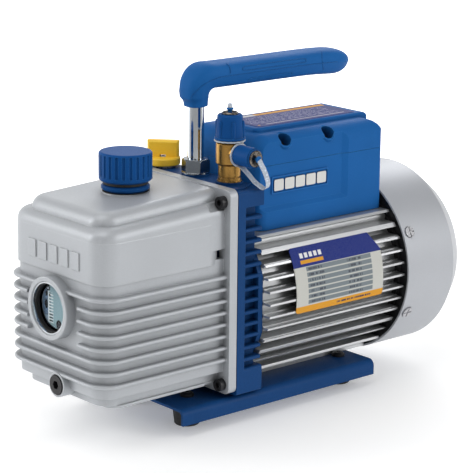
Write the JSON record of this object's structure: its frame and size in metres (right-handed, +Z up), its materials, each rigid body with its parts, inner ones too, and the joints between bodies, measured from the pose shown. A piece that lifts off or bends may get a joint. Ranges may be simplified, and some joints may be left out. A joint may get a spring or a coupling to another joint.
{
  "type": "rotary vane vacuum pump",
  "caption": "Portable direct-drive rotary vane vacuum pump with finned oil tank, sight glass, flare inlet tee, gas ballast knob, carry handle, terminal box and fan-cooled motor.",
  "frame": {"origin": "on the floor under the middle of the overall box", "axes": "+Z up, +Y along the shaft from the oil tank to the fan cover, +X towards the side with the inlet port"},
  "size_m": [0.1432, 0.3512, 0.2556],
  "materials": {
    "blue_paint": "satin",
    "blue_plastic": "satin",
    "cast_silver": "satin",
    "cover_silver": "satin",
    "black_rubber": "matte",
    "black_steel": "satin",
    "black_plastic": "matte",
    "steel": "satin",
    "chrome": "polished",
    "glass": "clear",
    "level": "satin",
    "filter": "matte",
    "yellow_plastic": "satin",
    "brass": "satin",
    "clear_plastic": "clear",
    "aluminium": "satin",
    "label_blue": "satin",
    "label_white": "satin",
    "copper": "satin",
    "cast_iron": "satin",
    "vane": "matte",
    "switch_red": "gloss"
  },
  "bodies": {
    "pump": {"base_plate": "blue_paint", "rubber_feet": "black_rubber", "foot_screws": "black_steel", "centre_bracket": "blue_paint", "bracket_bolts": "steel", "tank_gasket": "black_plastic", "oil_tank": "cast_silver", "tank_screws": "black_steel", "sight_ring": "chrome", "sight_seal": "black_rubber", "sight_glass": "glass", "level_plate": "level", "filler_collar": "blue_plastic", "exhaust_filter": "filter", "handle_post": "chrome", "handle_nut": "chrome", "handle_grip": "blue_plastic", "ballast_body": "steel", "inlet_tee": "brass", "box_base": "blue_plastic", "box_cover": "blue_plastic", "box_label": "label_blue", "side_badge": "label_white", "box_screws": "steel", "capacitors": "black_plastic", "switch_frame": "black_plastic", "power_inlet": "black_plastic", "inlet_pins": "brass", "motor_housing": "aluminium", "motor_label": "label_white", "stator_core": "steel", "stator_windings": "copper", "rear_shield": "black_steel", "bearings": "steel", "tie_bolts": "steel", "fan_cover": "cover_silver", "cover_screws": "steel", "stage_one": "cast_iron", "stage_two": "cast_iron", "stage_plates": "cast_iron", "shaft_seal": "black_rubber", "pump_bolts": "steel"},
    "rotor": {"motor_shaft": "steel", "rotor_core": "steel", "cooling_fan": "black_plastic", "stage_rotors": "steel"},
    "vane_1a": {"vane_1a": "vane"},
    "vane_1b": {"vane_1b": "vane"},
    "vane_2a": {"vane_2a": "vane"},
    "vane_2b": {"vane_2b": "vane"},
    "ballast_knob": {"ballast_knob": "yellow_plastic"},
    "rocker": {"rocker": "switch_red"},
    "filler_travel": {"filler_seal": "black_rubber"},
    "filler_cap": {"filler_cap": "blue_plastic"},
    "top_travel": {"top_tether": "clear_plastic"},
    "top_cap": {"top_cap": "blue_plastic"},
    "side_travel": {"side_tether": "clear_plastic"},
    "side_cap": {"side_cap": "blue_plastic"},
    "drain_travel": {"drain_seal": "copper"},
    "drain_plug": {"drain_plug": "black_steel"}
  },
  "joints": [
    {"name": "rotor_turn", "type": "hinge", "parent": "pump", "child": "rotor", "pos_m": [0, 0, 0.0872], "axis": [0, 1, 0], "continuous": true},
    {"name": "vane_1a_slide", "type": "slide", "parent": "rotor", "child": "vane_1a", "axis": [1, 0, 0], "range_m": [0, 0.0034]},
    {"name": "vane_1b_slide", "type": "slide", "parent": "rotor", "child": "vane_1b", "axis": [-1, 0, 0], "range_m": [0, 0.0034]},
    {"name": "vane_2a_slide", "type": "slide", "parent": "rotor", "child": "vane_2a", "axis": [1, 0, 0], "range_m": [0, 0.0034]},
    {"name": "vane_2b_slide", "type": "slide", "parent": "rotor", "child": "vane_2b", "axis": [-1, 0, 0], "range_m": [0, 0.0034]},
    {"name": "ballast_turn", "type": "hinge", "parent": "pump", "child": "ballast_knob", "pos_m": [-0.038, -0.041, 0.18], "axis": [0, 0, 1], "range_deg": [0, 180]},
    {"name": "rocker_tip", "type": "hinge", "parent": "pump", "child": "rocker", "pos_m": [-0.0386, 0.0532, 0.162], "axis": [0, 1, 0], "range_deg": [0, 12]},
    {"name": "filler_lift", "type": "slide", "parent": "pump", "child": "filler_travel", "axis": [0, 0, 1], "range_m": [0, 0.009]},
    {"name": "filler_turn", "type": "hinge", "parent": "filler_travel", "child": "filler_cap", "pos_m": [0, -0.1062, 0.185], "axis": [0, 0, 1], "range_deg": [0, 1080]},
    {"name": "top_lift", "type": "slide", "parent": "pump", "child": "top_travel", "axis": [0, 0, 1], "range_m": [0, 0.006]},
    {"name": "top_turn", "type": "hinge", "parent": "top_travel", "child": "top_cap", "pos_m": [0.0353, -0.04, 0.21], "axis": [0, 0, 1], "range_deg": [0, 1440]},
    {"name": "side_lift", "type": "slide", "parent": "pump", "child": "side_travel", "axis": [1, 0, 0], "range_m": [0, 0.006]},
    {"name": "side_turn", "type": "hinge", "parent": "side_travel", "child": "side_cap", "pos_m": [0.0353, -0.04, 0.1957], "axis": [1, 0, 0], "range_deg": [0, 1440]},
    {"name": "drain_lift", "type": "slide", "parent": "pump", "child": "drain_travel", "axis": [0, -1, 0], "range_m": [0, 0.0045]},
    {"name": "drain_turn", "type": "hinge", "parent": "drain_travel", "child": "drain_plug", "pos_m": [0.0063, -0.17, 0.0428], "axis": [0, -1, 0], "range_deg": [0, 1080]}
  ],
  "couplings": [
    {"joint": "filler_turn", "follows": "filler_lift", "rad_per_m": 2094.4},
    {"joint": "top_turn", "follows": "top_lift", "rad_per_m": 4188.8},
    {"joint": "side_turn", "follows": "side_lift", "rad_per_m": 4188.8},
    {"joint": "drain_turn", "follows": "drain_lift", "rad_per_m": 4188.8}
  ]
}
